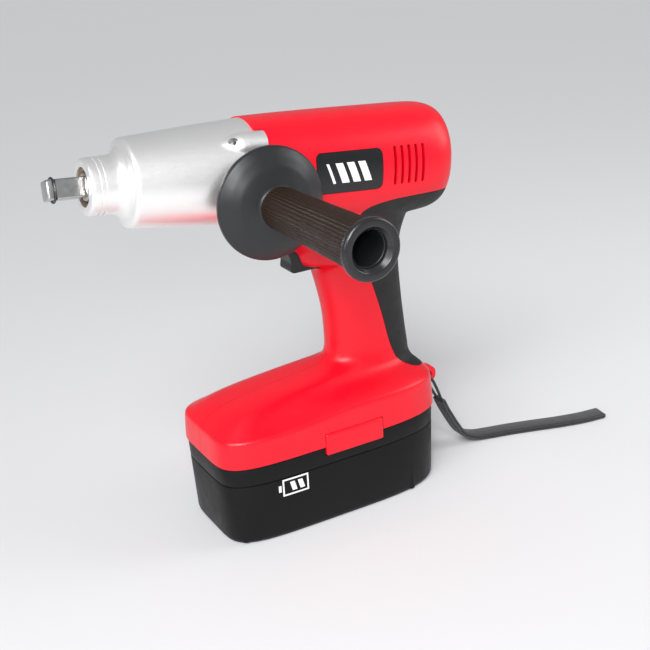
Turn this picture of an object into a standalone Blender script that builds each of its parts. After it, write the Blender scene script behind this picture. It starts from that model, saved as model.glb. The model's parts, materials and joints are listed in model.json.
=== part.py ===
"""Cordless impact wrench with a side handle and a wrist strap.

Metres, +Z up. The origin is the centre of the battery's underside, +X points to the square drive
and +Y to the side that carries the side handle. The helpers take millimetres.
The drive line has its own frame: its origin is the centre of the nose face and +X runs out of it.
"""

import math

import bmesh
import bpy
from mathutils import Matrix, Vector

MM = 0.001
GAP = 0.3                 # clearance between pieces that touch
TILT = math.radians(5)    # the drive line points up by this much above the base
NOSE = (146, 0, 262)      # centre of the nose face above the battery's underside

# Drive line, along its own X
DRIVE_SQUARE = 12.7
DRIVE_LENGTH = 24.2
SHAFT_R = 9.1             # anvil shaft in its bushing
BUSHING_R = 12.2
CASE_REAR = -107.4        # joint between the hammer case and the housing
CAVITY_R = 29.6           # inside of the hammer case at its rear
EAR_CIRCLE = 33.0         # radius on which the four case screws stand
EAR_R = 5.4
EAR_FRONT, EAR_REAR = -80.0, -113.0
PLANET_CIRCLE = 15.0
SUN_TEETH, PLANET_TEETH, RING_TEETH = 12, 18, 48
GEAR_FRONT, GEAR_REAR = -86.0, -96.5
MOTOR_FRONT, MOTOR_REAR = -109.0, -172.0
MOTOR_R = 24.0

# Side handle, on an axis across the tool
HANDLE_X, HANDLE_Z = -109.1, -13.3
BOSS_R, BOSS_FACE = 12.0, 37.0
STUD_R = 5.0
GUARD_R, GUARD_RIM = 37.1, 38.6
HANDLE_END = 164.4
HANDLE_END_R = 18.5
HANDLE_BORE_R = 12.6

# Base: hood, battery and strap lug
SEAM_Z = 60.5             # lower edge of the hood
SPLIT_Z = 46.0            # joint between the battery's lid and tray
BASE_X = -8.0             # centre of the plan outline's curves
BASE_FRONT, BASE_REAR, BASE_HALF = 98.0, 83.0, 46.5
WALL = 3.0
SKIN = 2.0                # depth of the recesses for the rubber and the name plates
BUTTON_X = (-31.5, 15.0)
BUTTON_Z = (53.5, 70.0)
LUG = (-99.0, 69.0)
LUG_HALF, LUG_R, LUG_HOLE_R = 4.0, 7.0, 3.1
CELL_R, CELL_PITCH = 11.2, 22.8
STRAP_WIDTH, STRAP_THICK = 13.0, 4.6
CORD_D = 2.2
INSIDE_SIDES = 14         # facets round the inside of the housing's tubes

# Barrel of the housing: x, centre height, half width, half height
BARREL = [
    (-104.0, 0.1, 35.4, 35.4),
    (-135.0, -1.0, 36.5, 37.3),
    (-175.0, -2.4, 37.2, 39.2),
    (-208.0, -2.6, 37.2, 39.5),
    (-236.0, -1.3, 36.6, 38.2),
    (-248.0, -1.0, 34.6, 36.6),
    (-255.0, -1.0, 29.6, 32.6),
    (-259.0, -2.0, 18.0, 22.0),
]
# Grip: z, front x, rear x, half width
GRIP = [
    (76.6, -4.0, -80.0, 33.0),
    (87.4, -9.0, -80.4, 27.5),
    (95.8, -12.6, -80.8, 22.8),
    (105.0, -15.0, -80.4, 19.6),
    (120.0, -15.8, -79.0, 18.3),
    (142.0, -14.8, -77.2, 18.2),
    (167.0, -10.0, -76.0, 18.8),
    (177.0, -6.4, -76.8, 19.3),
    (181.6, 3.0, -77.2, 19.6),
    (192.0, 9.0, -80.0, 20.4),
    (203.0, 24.0, -85.0, 21.8),
    (211.0, 34.0, -90.0, 23.0),
    (224.0, 38.0, -94.0, 25.0),
]
# Hood: z, then how far the side, the front and the rear stand in from the plan outline
HOOD = [
    (60.5, 0.0, 0.0, 0.0),
    (77.0, 0.9, 1.0, 1.0),
    (81.6, 4.2, 4.0, 3.8),
    (87.0, 11.0, 9.5, 8.5),
    (91.0, 16.0, 20.0, 13.0),
    (95.8, 23.4, 46.0, 21.0),
    (98.6, 31.0, 72.0, 32.0),
]
# Battery: z and inset from the plan outline
TRAY = [(0.0, 5.6), (1.4, 3.8), (4.5, 2.7), (45.7, 1.5)]
LID = [(46.0, 1.5), (58.6, 1.1), (60.2, 2.2)]
# Border of the rubber on the housing's underside and the grip's back, in the drive line's X and Z
RUBBER = [
    (-290.0, -20.0), (-254.0, -20.0), (-215.0, -22.0), (-199.0, -24.0), (-188.0, -27.5),
    (-183.5, -34.0), (-184.5, -44.0), (-190.0, -62.0), (-197.0, -79.0), (-203.0, -94.0),
    (-209.0, -110.0), (-214.5, -128.0), (-219.0, -140.0), (-224.5, -147.0), (-233.0, -151.0),
    (-246.0, -153.0), (-290.0, -153.0),
]
# Housing screws: x, z, depth of the head's seat and end of the boss, both from the middle plane
HOUSING_SCREWS = [
    (-47.0, 112.0, 12.0, 15.4), (-52.0, 148.0, 12.0, 15.2), (-97.0, 226.0, 27.0, 31.4), (62.0, 78.0, 34.0, 41.5),
]

DRIVE = Matrix.Translation(Vector(NOSE) * MM) @ Matrix.Rotation(-TILT, 4, "Y")
DRIVE_SPIN = DRIVE @ Matrix.Rotation(math.pi / 2, 4, "Y")
BASE = Matrix.Identity(4)
HANDLE = DRIVE @ Matrix.Translation(Vector((HANDLE_X, 0, HANDLE_Z)) * MM) @ Matrix.Rotation(-math.pi / 2, 4, "X")


# ---------------------------------------------------------------- scene and materials

def clear_scene():
    for obj in list(bpy.data.objects):
        bpy.data.objects.remove(obj)


def new_collection(name):
    found = bpy.data.collections.new(name)
    bpy.context.scene.collection.children.link(found)
    return found


def material(name, colour, roughness, metallic=0.0):
    mat = bpy.data.materials.new(name)
    mat.use_nodes = True
    shader = mat.node_tree.nodes["Principled BSDF"]
    shader.inputs["Base Color"].default_value = (*colour, 1.0)
    shader.inputs["Roughness"].default_value = roughness
    shader.inputs["Metallic"].default_value = metallic
    mat.diffuse_color = (*colour, 1.0)
    return mat


clear_scene()
PARTS = new_collection("impact_wrench")
CUTTERS = new_collection("cutters")
RED = material("red_plastic", (0.75, 0.008, 0.012), 0.38)
BLACK = material("black_plastic", (0.012, 0.012, 0.013), 0.45)
RUBBER_LOOK = material("black_rubber", (0.01, 0.01, 0.01), 0.7)
SLEEVE_LOOK = material("sleeve_rubber", (0.022, 0.014, 0.012), 0.65)
ALUMINIUM = material("cast_aluminium", (0.62, 0.62, 0.64), 0.42, 1.0)
STEEL = material("steel", (0.42, 0.42, 0.43), 0.3, 1.0)
DARK_STEEL = material("dark_steel", (0.08, 0.08, 0.085), 0.4, 1.0)
BRONZE = material("bronze", (0.35, 0.22, 0.1), 0.4, 1.0)
COPPER = material("copper", (0.6, 0.28, 0.16), 0.35, 1.0)
CELL_LOOK = material("cell_wrap", (0.05, 0.12, 0.32), 0.45)
STRAP_LOOK = material("strap_webbing", (0.012, 0.012, 0.013), 0.9)
PLATE_LOOK = material("name_plate", (0.01, 0.01, 0.012), 0.3)


# ---------------------------------------------------------------- building helpers

def add_object(name, data, place, look, collection=None):
    obj = bpy.data.objects.new(name, data)
    obj.matrix_world = place
    (collection or PARTS).objects.link(obj)
    if look:
        data.materials.append(look)
    return obj


def as_cutter(obj):
    for owner in list(obj.users_collection):
        owner.objects.unlink(obj)
    CUTTERS.objects.link(obj)
    obj.hide_render = True
    obj.display_type = "WIRE"
    return obj


def mesh_object(name, bm, place, look, smooth=True):
    bmesh.ops.recalc_face_normals(bm, faces=bm.faces)
    data = bpy.data.meshes.new(name)
    bm.to_mesh(data)
    bm.free()
    obj = add_object(name, data, place, look)
    if smooth:
        data.shade_smooth()
        data.set_sharp_from_angle(angle=math.radians(35))
    return obj


def loft(name, rings, place, look):
    """Closed body through rings of (x, y, z) points in order, capped at both ends."""
    bm = bmesh.new()
    rows = [[bm.verts.new(Vector(p) * MM) for p in ring] for ring in rings]
    count = len(rows[0])
    for low, high in zip(rows, rows[1:]):
        for i in range(count):
            j = (i + 1) % count
            bm.faces.new((low[i], low[j], high[j], high[i]))
    bm.faces.new(rows[0])
    bm.faces.new(rows[-1])
    return mesh_object(name, bm, place, look)


def area(points):
    return sum(a[0] * b[1] - b[0] * a[1] for a, b in zip(points, points[1:] + points[:1])) / 2


def turned(name, profile, place, look, segments=48):
    """Body turned about local Z from (height, radius) points; an outline off the axis is closed."""
    if area(profile) < 0:
        profile = profile[::-1]
    solid = min(profile[0][1], profile[-1][1]) == 0
    bm = bmesh.new()
    line = [bm.verts.new((r * MM, 0, h * MM)) for h, r in profile]
    for a, b in zip(line, line[1:]):
        bm.edges.new((a, b))
    if not solid:
        bm.edges.new((line[-1], line[0]))
    data = bpy.data.meshes.new(name)
    bm.to_mesh(data)
    bm.free()
    obj = add_object(name, data, place, look)
    screw = obj.modifiers.new("turn", "SCREW")
    screw.axis = "Z"
    screw.steps = screw.render_steps = segments
    screw.use_merge_vertices = True
    screw.merge_threshold = 0.00001
    screw.use_smooth_shade = False
    return obj


def block(name, low, high, place, look, bevel=0.0):
    bm = bmesh.new()
    bmesh.ops.create_cube(bm, size=1.0)
    for vert in bm.verts:
        vert.co = Vector([lo + (hi - lo) * (c + 0.5) for c, lo, hi in zip(vert.co, low, high)]) * MM
    if bevel:
        bmesh.ops.bevel(bm, geom=bm.edges[:], offset=bevel * MM, segments=2, affect="EDGES", profile=0.5)
    return mesh_object(name, bm, place, look)


def cylinder(name, start, end, radius, place, look, segments=24, far_radius=None):
    """Cylinder, or cone, between two points."""
    start, end = Vector(start) * MM, Vector(end) * MM
    along = end - start
    bm = bmesh.new()
    turn = along.to_track_quat("Z", "Y").to_matrix().to_4x4()
    bmesh.ops.create_cone(
        bm, cap_ends=True, segments=segments, radius1=radius * MM,
        radius2=(radius if far_radius is None else far_radius) * MM, depth=along.length,
        matrix=Matrix.Translation((start + end) / 2) @ turn,
    )
    return mesh_object(name, bm, place, look)


def plate(name, outlines, low, high, place, look):
    """Flat piece on outlines in local X and Y between two heights; a second outline is a hole."""
    curve = bpy.data.curves.new(name, "CURVE")
    curve.dimensions = "2D"
    curve.fill_mode = "BOTH"
    curve.extrude = (high - low) / 2 * MM
    for outline in outlines:
        spline = curve.splines.new("POLY")
        spline.points.add(len(outline) - 1)
        for point, (x, y) in zip(spline.points, outline):
            point.co = (x * MM, y * MM, 0, 1)
        spline.use_cyclic_u = True
    return add_object(name, curve, place @ Matrix.Translation((0, 0, (low + high) / 2 * MM)), look)


def as_mesh(obj):
    """Turns a curve object, or one with modifiers, into a plain mesh object with welded caps."""
    bpy.context.view_layer.update()
    evaluated = obj.evaluated_get(bpy.context.evaluated_depsgraph_get())
    data = bpy.data.meshes.new_from_object(evaluated)
    bm = bmesh.new()
    bm.from_mesh(data)
    bmesh.ops.remove_doubles(bm, verts=bm.verts, dist=0.000001)
    bmesh.ops.recalc_face_normals(bm, faces=bm.faces)
    bm.to_mesh(data)
    bm.free()
    name, place = obj.name, obj.matrix_world.copy()
    bpy.data.objects.remove(obj)
    made = bpy.data.objects.new(name, data)
    made.matrix_world = place
    PARTS.objects.link(made)
    return made


def prism(name, outline, low, high, place):
    """An outline in X and Z, run along Y between two values."""
    turn = Matrix.Rotation(math.pi / 2, 4, "X")
    return as_mesh(plate(name, [outline], -high, -low, place @ turn, None))


def wire(name, points, diameter, place, look, resolution=1):
    curve = bpy.data.curves.new(name, "CURVE")
    curve.dimensions = "3D"
    curve.bevel_depth = diameter / 2 * MM
    curve.bevel_resolution = resolution
    curve.use_fill_caps = True
    spline = curve.splines.new("POLY")
    spline.points.add(len(points) - 1)
    for point, at in zip(spline.points, points):
        point.co = (*(Vector(at) * MM), 1)
    return add_object(name, curve, place, look)


def boolean(obj, other, operation):
    step = obj.modifiers.new(operation.lower(), "BOOLEAN")
    step.operation = operation
    step.solver = "EXACT"
    step.object = other


def cut(obj, *cutters):
    for cutter in cutters:
        boolean(obj, as_cutter(cutter), "DIFFERENCE")


def join(obj, *others):
    for other in others:
        boolean(obj, as_cutter(other), "UNION")


def keep_inside(obj, other):
    boolean(obj, as_cutter(other), "INTERSECT")


# ---------------------------------------------------------------- shape rules

def power(value, exponent):
    return math.copysign(abs(value) ** exponent, value)


def oval(half_a, half_b, exponent, count):
    """Points of a superellipse, counter-clockwise from +a."""
    angles = [2 * math.pi * i / count for i in range(count)]
    return [(half_a * power(math.cos(t), 2 / exponent), half_b * power(math.sin(t), 2 / exponent)) for t in angles]


def plan(side, front, rear, count=26):
    """Plan outline of the base: a blunt front and a rounder rear, each stood in by its inset."""
    points = []
    for i in range(count):
        t = 2 * math.pi * i / count
        length, exponent = (BASE_FRONT - front, 5.5) if math.cos(t) > 0 else (BASE_REAR - rear, 3.4)
        half = (BASE_HALF - side) * power(math.sin(t), 2 / exponent)
        points.append((BASE_X + length * power(math.cos(t), 2 / exponent), half))
    return points


def barrel(name, inset, front=0.0, count=22):
    rings = []
    for index, (x, zc, ry, rz) in enumerate(BARREL):
        at = x + inset * (index / (len(BARREL) - 1)) ** 6
        if index == 0:
            at += front
        rings.append([(at, y, zc + z) for y, z in oval(ry - inset, rz - inset, 2.15, count)])
    return loft(name, rings, DRIVE, RED)


def grip(name, inset, count=16):
    rings = []
    for z, front, rear, half in GRIP:
        middle, reach = (front + rear) / 2, (front - rear) / 2 - inset
        rings.append([(middle + x, y, z) for x, y in oval(reach, half - inset, 2.35, count)])
    return loft(name, rings, BASE, RED)


def hood(name, inset, drop=0.0, count=26):
    rings = []
    for index, (z, side, front, rear) in enumerate(HOOD):
        height = z - drop if index else z - (4.0 if drop else 0.0)
        rings.append([(x, y, height) for x, y in plan(side + inset, front + inset, rear + inset, count)])
    return loft(name, rings, BASE, RED)


def stack(name, levels, inset, look):
    rings = [[(x, y, z) for x, y in plan(step + inset, step + inset, step + inset)] for z, step in levels]
    return loft(name, rings, BASE, look)


def gear_outline(teeth, phase, inside=False):
    """Module 1 teeth with running backlash; an internal gear's teeth point inwards."""
    pitch_r = teeth / 2
    sign = -1 if inside else 1
    outline = []
    for tooth in range(teeth):
        middle = phase + 2 * math.pi * tooth / teeth
        for radius, half in ((pitch_r - sign * 1.1, 0.98), (pitch_r + sign * 0.8, 0.36)):
            outline.append((middle, radius, half / radius))
    points = []
    for (middle, root_r, root_half), (_, tip_r, tip_half) in zip(outline[::2], outline[1::2]):
        for radius, angle in ((root_r, -root_half), (tip_r, -tip_half), (tip_r, tip_half), (root_r, root_half)):
            points.append((radius * math.cos(middle + angle), radius * math.sin(middle + angle)))
    return points


def circle(radius, count):
    return [(radius * math.cos(2 * math.pi * i / count), radius * math.sin(2 * math.pi * i / count)) for i in range(count)]


def coil(radius, low, high, turns, steps=12):
    """Points of a helix about local Z."""
    count = turns * steps
    angles = [2 * math.pi * i / steps for i in range(count + 1)]
    return [(radius * math.cos(t), radius * math.sin(t), low + (high - low) * i / count) for i, t in enumerate(angles)]


def ear_points():
    """Centres of the four case screws in the drive line's Y and Z."""
    return [(EAR_CIRCLE * math.cos(t), EAR_CIRCLE * math.sin(t)) for t in (math.radians(45 + 90 * k) for k in range(4))]


# ---------------------------------------------------------------- hammer case and what it holds

def make_hammer_case():
    outer = [
        (CASE_REAR, 0), (CASE_REAR, 34.9), (-70, 32.2), (-30, 28.9), (-26.2, 28.6), (-24.6, 27.2), (-23.4, 22.6),
        (-20.6, 19.4), (-17.5, 18.6), (-1.0, 18.0), (0, 17.2), (0, 0),
    ]
    case = turned("hammer_case", outer, DRIVE_SPIN, ALUMINIUM, 26)
    for y, z in ear_points():
        join(case, cylinder("ear", (EAR_FRONT, y, z), (EAR_REAR, y, z), EAR_R, DRIVE, ALUMINIUM, 12))
    for side in (1, -1):
        low, high = (HANDLE_X, side * 30, HANDLE_Z), (HANDLE_X, side * BOSS_FACE, HANDLE_Z)
        join(case, cylinder("handle_boss", low, high, BOSS_R, DRIVE, ALUMINIUM, 22))
    cavity = [(-118, 0), (-118, CAVITY_R), (CASE_REAR, CAVITY_R), (-40, 26), (-28, 24.6), (-27, 12.5), (2, 12.5), (2, 0)]
    cut(case, turned("case_cavity", cavity, DRIVE_SPIN, ALUMINIUM, 25))
    for y, z in ear_points():
        cut(case, cylinder("screw_hole", (-120, y, z), (-90, y, z), 1.9, DRIVE, ALUMINIUM, 9))
        cut(case, cylinder("head_recess", (-96, y, z), (-78, y, z), 3.6, DRIVE, ALUMINIUM, 11))
    for side in (1, -1):
        low, high = (HANDLE_X, side * 26, HANDLE_Z), (HANDLE_X, side * 40, HANDLE_Z)
        cut(case, cylinder("stud_hole", low, high, STUD_R + GAP, DRIVE, ALUMINIUM, 16))


def make_anvil():
    side = DRIVE_SQUARE / 2
    anvil = block("anvil", (-4, -side, -side), (DRIVE_LENGTH, side, side), DRIVE, STEEL, 1.2)
    anvil.rotation_euler.rotate_axis("X", math.radians(18))
    shaft = [(-23, 0), (-23, 5.4), (-36.5, 5.4), (-36.5, 11.5), (-26.4, 11.5), (-26.4, SHAFT_R), (-1.5, SHAFT_R),
             (-0.6, 8.2), (-0.6, 0)]
    join(anvil, turned("anvil_shaft", shaft, DRIVE_SPIN, STEEL, 22))
    wings = block("anvil_wings", (-36, -21.5, -5), (-28.6, 21.5, 5), DRIVE, STEEL)
    cut(wings, cylinder("wing_bore", (-40, 0, 0), (-20, 0, 0), 8.0, DRIVE, STEEL, 24))
    join(anvil, wings)
    cut(anvil, turned("ring_groove", [(18.2, 6.4), (18.2, 12), (20.4, 12), (20.4, 6.4)], DRIVE_SPIN, STEEL, 20))
    tip = turned("tip_round", [(24.9, 7.6), (24.9, 12), (19, 12), (21.4, 9.4)], DRIVE_SPIN, STEEL, 24)
    cut(anvil, tip)


def make_drive_line():
    bushing = [(-25.6, SHAFT_R + GAP), (-25.6, BUSHING_R), (-1, BUSHING_R), (-1, 10.6), (-2, SHAFT_R + GAP)]
    turned("nose_bushing", bushing, DRIVE_SPIN, BRONZE, 20)
    turned("friction_ring", [(18.6, 6.8), (18.6, 8.3), (20, 8.3), (20, 6.8)], DRIVE_SPIN, DARK_STEEL, 18)
    hammer = [(-62, 20.5), (-62, 23.4), (-37, 23.4), (-37, 8.6), (-45, 8.6), (-55, 8.6), (-55, 11), (-46, 11.5),
              (-46, 20.5)]
    hammer_body = turned("hammer", hammer, DRIVE_SPIN, DARK_STEEL, 24)
    for side in (1, -1):
        low, high = (-38, -5, side * 18 - 4), (-29.2, 5, side * 18 + 4)
        join(hammer_body, block("dog", low, high, DRIVE, DARK_STEEL))
    wire("hammer_spring", coil(16, -77.5, -47.8, 4, 10), 2.6, DRIVE_SPIN, STEEL)
    make_spindle()
    make_gears()
    bearing = [(-105.4, 10.8), (-105.4, 16), (-101.2, 16), (-101.2, 10.8)]
    turned("carrier_bearing", bearing, DRIVE_SPIN, STEEL, 20)
    gearbox = [(-107.2, 8.4), (-107.2, 28.7), (-100.9, 28.7), (-100.9, 16.3), (-105.7, 16.3), (-105.7, 8.4)]
    turned("gearbox_plate", gearbox, DRIVE_SPIN, ALUMINIUM, 24)


def make_spindle():
    profile = [(-85, 0), (-85, 21), (-80, 21), (-80, 8.2), (-37, 8.2), (-36.8, 5), (-24.5, 5), (-24, 4.4), (-24, 0)]
    spindle = turned("spindle", profile, DRIVE_SPIN, STEEL, 16)
    rear = [(-105, 8.2), (-105, 10.5), (-100.6, 10.5), (-100.6, 21), (-97.3, 21), (-97.3, 8.2)]
    rear_disc = turned("carrier_rear", rear, DRIVE_SPIN, STEEL, 18)
    join(spindle, rear_disc)
    for k in range(3):
        t = math.radians(60 + 120 * k)
        y, z = 17 * math.cos(t), 17 * math.sin(t)
        join(spindle, cylinder("pillar", (-84, y, z), (-98, y, z), 3, DRIVE, STEEL, 8))
        t = math.radians(120 * k)
        y, z = PLANET_CIRCLE * math.cos(t), PLANET_CIRCLE * math.sin(t)
        cut(spindle, cylinder("pin_hole", (-81.4, y, z), (-102, y, z), 2.4, DRIVE, STEEL, 9))


def make_gears():
    turn = Matrix.Rotation(math.pi / 2, 4, "Z")
    wheel = DRIVE_SPIN @ turn
    ring = [circle(28, 32), gear_outline(RING_TEETH, 0, inside=True)]
    plate("ring_gear", ring, GEAR_REAR, GEAR_FRONT, wheel, DARK_STEEL)
    plate("motor_pinion", [gear_outline(SUN_TEETH, 0), circle(2.8, 16)], GEAR_REAR, GEAR_FRONT, wheel, STEEL)
    for k in range(3):
        t = math.radians(120 * k)
        centre = Vector((PLANET_CIRCLE * math.cos(t), PLANET_CIRCLE * math.sin(t), 0)) * MM
        place = wheel @ Matrix.Translation(centre)
        half_tooth = math.pi / PLANET_TEETH
        outlines = [gear_outline(PLANET_TEETH, half_tooth), circle(2.4, 10)]
        plate(f"planet_gear_{k + 1}", outlines, GEAR_REAR, GEAR_FRONT, place, STEEL)
        turned(f"planet_pin_{k + 1}", [(-100.3, 0), (-100.3, 2), (-81.7, 2), (-81.7, 0)], place, STEEL, 10)


# ---------------------------------------------------------------- motor

def make_motor():
    can = [(MOTOR_REAR, 22.3), (MOTOR_REAR, MOTOR_R), (MOTOR_FRONT, MOTOR_R), (MOTOR_FRONT, 4), (-111, 4),
           (-111, 15.2), (-152, 15.2), (-152, 22.3)]
    turned("motor_can", can, DRIVE_SPIN, DARK_STEEL, 26)
    rotor = [(-192, 0), (-192, 2.5), (-170, 2.5), (-170, 8), (-161, 8), (-161, 5), (-158, 5), (-156, 12), (-149, 14),
             (-116, 14), (-113, 11), (-112.4, 2.5), (-85.4, 2.5), (-85.4, 0)]
    turned("armature", rotor, DRIVE_SPIN, COPPER, 16)
    end_cap = [(-181, 3.2), (-181, 20), (-178, 24), (-172.3, 24), (-172.3, 3.2)]
    turned("motor_end_cap", end_cap, DRIVE_SPIN, BLACK, 24)
    for side, name in ((1, "brush_left"), (-1, "brush_right")):
        low, high = sorted((side * 8.4, side * 16))
        block(name, (-169, low, -3), (-162, high, 3), DRIVE, DARK_STEEL)
    blades = []
    for blade in range(9):
        t = 2 * math.pi * blade / 9
        for radius, angle in ((7, -0.2), (22.5, -0.04), (22.5, 0.04), (7, 0.2)):
            blades.append((radius * math.cos(t + angle), radius * math.sin(t + angle)))
    plate("motor_fan", [blades, circle(2.8, 16)], -191.5, -183.5, DRIVE_SPIN, BLACK)


# ---------------------------------------------------------------- housing

def name_plate_outline(grow):
    half_x, half_z, corner = 25.0 + grow, 13.4 + grow, 4.0
    points = []
    for quarter, (sx, sz) in enumerate(((1, 1), (-1, 1), (-1, -1), (1, -1))):
        for step in range(4):
            t = math.pi / 2 * (quarter + step / 3)
            x = sx * (half_x - corner) + corner * math.cos(t)
            z = sz * (half_z - corner) + corner * math.sin(t)
            points.append((-169.5 + x, 0.6 + z))
    return points


def grown(outline, amount):
    """Outline moved out by an amount along the mean of each point's two edge normals."""
    count = len(outline)
    outward = 1 if area(outline) > 0 else -1
    moved = []
    for i in range(count):
        before, at, after = (Vector(outline[(i + k) % count]) for k in (-1, 0, 1))
        edge = (at - before).normalized() + (after - at).normalized()
        moved.append(tuple(at + Vector((edge.y, -edge.x)).normalized() * outward * amount))
    return moved


def vents(name):
    """Five upright slots on each side, near the fan, as one cutter."""
    bm = bmesh.new()
    for k in range(5):
        for side in (1, -1):
            made = bmesh.ops.create_cube(bm, size=1.0)["verts"]
            for vert in made:
                x, y, z = vert.co
                vert.co = Vector((-204.5 - 5.6 * k + 2.2 * x, side * 36 + 14 * y, 1.5 + 26 * z)) * MM
    return as_cutter(mesh_object(name, bm, DRIVE, RED))


def housing_outer(name):
    """The closed outside of both halves, with the recesses for rubber and name plates."""
    body = barrel(name, 0.0)
    join(body, grip("grip_outer", 0.0))
    cut(body, prism("rubber_recess", grown(RUBBER, GAP), -60, 60, DRIVE))
    for side in (1, -1):
        low, high = sorted((side * 22, side * 50))
        cut(body, prism("plate_recess", name_plate_outline(GAP), low, high, DRIVE))
    join(body, barrel("barrel_under_skin", SKIN), grip("grip_under_skin", SKIN), hood("hood_outer", 0.0))
    x, z = LUG
    join(body, cylinder("lug_round", (x, -LUG_HALF, z), (x, LUG_HALF, z), LUG_R, BASE, RED, 16))
    half, reach = LUG_HALF - 0.5, LUG_R - 1.2
    join(body, block("lug_root", (x + 2, -half, z - reach), (-80, half, z + reach), BASE, RED))
    return body


def screw_bosses(body, side):
    for x, z, _, end in HOUSING_SCREWS:
        join(body, cylinder("screw_boss", (x, side * -3, z), (x, side * end, z), 4.4, BASE, RED, 11))
    for y, z in ear_points():
        if y * side > 0:
            join(body, cylinder("front_boss", (-114, y, z), (-128, y, z), 3.2, DRIVE, RED, 14))


def make_housing(name, side, outer):
    body = bpy.data.objects.new(name, outer.data.copy())
    body.matrix_world = outer.matrix_world.copy()
    PARTS.objects.link(body)
    cut(body, barrel("barrel_inside", 2 * SKIN, 8.0, INSIDE_SIDES), grip("grip_inside", 2 * SKIN, INSIDE_SIDES))
    cut(body, hood("hood_inside", WALL, WALL, INSIDE_SIDES))
    screw_bosses(body, side)
    low, high = sorted((side * 31, side * 33))
    join(body, block("spring_seat", (-15, low, 61.5), (-2, high, 87.6), BASE, RED))
    low, high = sorted((side * 0.15, -side * 80))
    cut(body, block("other_half", (-200, low, -20), (200, high, 320), BASE, RED))
    cut(body, block("front_trim", (CASE_REAR - GAP, -60, -70), (40, 60, 60), DRIVE, RED))
    for y, z in ear_points():
        if y * side > 0:
            cut(body, cylinder("ear_notch", (-80, y, z), (EAR_REAR - 0.4, y, z), EAR_R + 0.4, DRIVE, RED, 14))
            cut(body, cylinder("front_pilot", (-112, y, z), (-126, y, z), 1.8, DRIVE, RED, 12))
    start, end = (HANDLE_X, side * 20, HANDLE_Z), (HANDLE_X, side * 45, HANDLE_Z)
    cut(body, cylinder("boss_notch", start, end, BOSS_R + GAP, DRIVE, RED, 22))
    cut(body, vents("vent_slots"))
    cut(body, block("trigger_slot", (-20, -9.2, 176.4), (44, 9.2, 198.2), BASE, RED))
    cut(body, cylinder("slider_hole", (4, -40, 203.6), (4, 40, 203.6), 4.8, BASE, RED, 20))
    low, high = sorted((side * 38, side * 52))
    slot_low = (BUTTON_X[0] - GAP, low, SEAM_Z - 6)
    slot_high = (BUTTON_X[1] + GAP, high, BUTTON_Z[1] + GAP)
    cut(body, block("button_slot", slot_low, slot_high, BASE, RED))
    x, z = LUG
    cut(body, cylinder("lug_hole", (x, -12, z), (x, 12, z), LUG_HOLE_R, BASE, RED, 12))
    for x, z, head, _ in HOUSING_SCREWS:
        if side < 0:
            cut(body, cylinder("screw_clear", (x, 5, z), (x, -head - 2, z), 1.9, BASE, RED, 8))
            cut(body, cylinder("screw_sink", (x, -head, z), (x, -60, z), 3.6, BASE, RED, 10))
        else:
            cut(body, cylinder("screw_pilot", (x, -5, z), (x, 11, z), 1.9, BASE, RED, 8))
    return body


def make_skins():
    """Rubber along the underside and the grip's back, and a name plate on each side."""
    rubber = prism("rubber_back_strap", RUBBER, -50, 50, DRIVE)
    rubber.data.materials.append(RUBBER_LOOK)
    shape = barrel("skin_barrel", 0.0)
    join(shape, grip("skin_grip", 0.0))
    keep_inside(rubber, shape)
    cut(rubber, barrel("rubber_under", SKIN - GAP), grip("rubber_grip_under", SKIN - GAP), hood("rubber_foot", -GAP))
    for side, name in ((1, "name_plate_left"), (-1, "name_plate_right")):
        low, high = sorted((side * 24, side * 48))
        label = prism(name, name_plate_outline(0), low, high, DRIVE)
        label.data.materials.append(PLATE_LOOK)
        keep_inside(label, barrel("plate_barrel", 0.0))
        cut(label, barrel("plate_under", SKIN - GAP))


def make_screws():
    for k, (y, z) in enumerate(ear_points()):
        place = DRIVE @ Matrix.Translation(Vector((0, y, z)) * MM) @ Matrix.Rotation(math.pi / 2, 4, "Y")
        shape = [(-124, 0), (-124, 1.5), (-95.6, 1.5), (-95.6, 3.1), (-92.6, 3.1), (-92, 2.6), (-92, 0)]
        turned(f"case_screw_{k + 1}", shape, place, DARK_STEEL, 10)
    for k, (x, z, head, _) in enumerate(HOUSING_SCREWS):
        place = Matrix.Translation(Vector((x, 0, z)) * MM) @ Matrix.Rotation(-math.pi / 2, 4, "X")
        shape = [(10, 0), (10, 1.5), (-head - 0.4, 1.5), (-head - 0.4, 3.1), (-head - 2.4, 3.1), (-head - 3, 2.4),
                 (-head - 3, 0)]
        turned(f"housing_screw_{k + 1}", shape, place, DARK_STEEL, 10)


# ---------------------------------------------------------------- trigger group

def make_trigger():
    outline = [(17, 197.2), (13.4, 190.5), (11.8, 184.5), (12.4, 180), (11.6, 177.6), (9.6, 176.8), (-8, 176.8),
               (-8, 197.2)]
    trigger = as_mesh(plate("trigger", [outline], -8.6, 8.6, Matrix.Rotation(math.pi / 2, 4, "X"), BLACK))
    bevel = trigger.modifiers.new("edges", "BEVEL")
    bevel.width = 1.2 * MM
    bevel.segments = 2
    bevel.limit_method = "ANGLE"
    join(trigger, cylinder("plunger", (-7, 0, 187), (-20, 0, 187), 2.4, BASE, STEEL, 14))
    body = block("switch_body", (-54, -8.6, 173), (-16.4, 8.6, 198), BASE, BLACK, 1.0)
    cut(body, cylinder("plunger_hole", (-10, 0, 187), (-29, 0, 187), 3.0, BASE, BLACK, 16))
    spring_place = Matrix.Translation(Vector((0, 0, 187)) * MM) @ Matrix.Rotation(math.pi / 2, 4, "Y")
    wire("trigger_spring", coil(4.4, -15.6, -9.0, 3, 8), 0.9, spring_place, STEEL)
    slider = cylinder("direction_slider", (4, -25.5, 203.6), (4, 25.5, 203.6), 4.4, BASE, BLACK, 20)
    join(slider, block("slider_fork", (1.5, -3, 198.8), (6.5, 3, 201), BASE, BLACK))


# ---------------------------------------------------------------- side handle

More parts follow.
